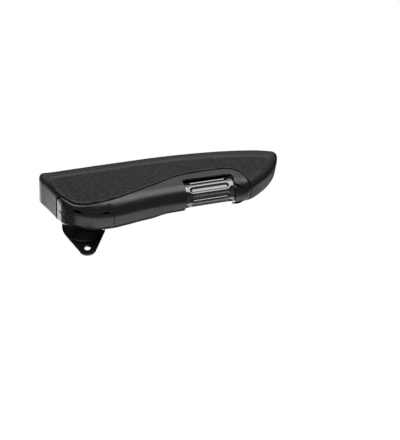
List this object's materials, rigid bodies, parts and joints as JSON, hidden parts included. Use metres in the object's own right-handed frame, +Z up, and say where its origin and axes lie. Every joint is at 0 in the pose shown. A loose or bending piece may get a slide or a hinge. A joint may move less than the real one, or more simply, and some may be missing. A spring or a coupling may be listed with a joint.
{
  "type": "flip-up seat armrest",
  "caption": "Right-hand flip-up seat armrest: tapered foam arm pad, underside trim, handwheel tilt adjuster and a dished two-ear bolt-on pivot plate.",
  "frame": {"origin": "on the pivot axis, in the plane of the mounting plate's seat-side face", "axes": "+X forward to the arm's tip, +Y towards the seat, +Z up, in use"},
  "size_m": [0.3749, 0.072, 0.1228],
  "materials": {
    "foam": "grained satin skin",
    "trim_plastic": "fine texture",
    "gloss_plastic": "gloss",
    "paint": "semi-gloss black",
    "zinc": "zinc plated",
    "phosphated_steel": "dark phosphate",
    "brass": "machined",
    "acetal": "natural"
  },
  "bodies": {
    "seat_mount": {"mount_plate": "paint", "pivot_axle": "phosphated_steel", "axle_stop_pin": "zinc", "mount_nut": "zinc", "mount_washer": "zinc", "friction_disc": "acetal", "wave_washer": "zinc", "thrust_washer": "acetal", "axle_circlip": "zinc"},
    "rest_lever": {"pivot_sleeve": "phosphated_steel", "stop_lever": "zinc", "lever_pin": "zinc", "sleeve_circlip": "zinc"},
    "arm": {"arm_pad": "foam", "underside_trim": "trim_plastic", "pivot_cover": "trim_plastic", "arm_frame": "phosphated_steel", "rear_bearing_block": "acetal", "front_bearing_block": "acetal", "rear_block_screw": "zinc", "front_block_screw": "zinc", "inner_hub_bush": "acetal", "outer_hub_bush": "acetal", "inner_trim_clip": "zinc", "outer_trim_clip": "zinc"},
    "adjuster_wheel": {"handwheel": "gloss_plastic", "adjuster_spindle": "zinc", "wheel_drive_pin": "zinc", "rear_spacer": "acetal", "front_spacer": "acetal"},
    "adjuster_slide": {"adjuster_nut": "brass", "draw_strap": "zinc", "rear_strap_screw": "zinc", "front_strap_screw": "zinc"}
  },
  "joints": [
    {"name": "lift", "type": "hinge", "parent": "seat_mount", "child": "rest_lever", "pos_m": [0, 0, 0], "axis": [0, -1, 0], "range_deg": [0, 100]},
    {"name": "tilt", "type": "hinge", "parent": "rest_lever", "child": "arm", "pos_m": [0, 0, 0], "axis": [0, -1, 0], "range_deg": [-12, 12]},
    {"name": "wheel_turn", "type": "hinge", "parent": "arm", "child": "adjuster_wheel", "pos_m": [0.15, -0.0455, -0.0075], "axis": [1, 0, 0], "range_deg": [-756, 756]},
    {"name": "nut_slide", "type": "slide", "parent": "arm", "child": "adjuster_slide", "axis": [1, 0, 0], "range_m": [-0.0042, 0.0042]}
  ],
  "couplings": [
    {"joint": "wheel_turn", "follows": "tilt", "ratio": 62.832},
    {"joint": "nut_slide", "follows": "tilt", "m_per_rad": -0.02}
  ]
}
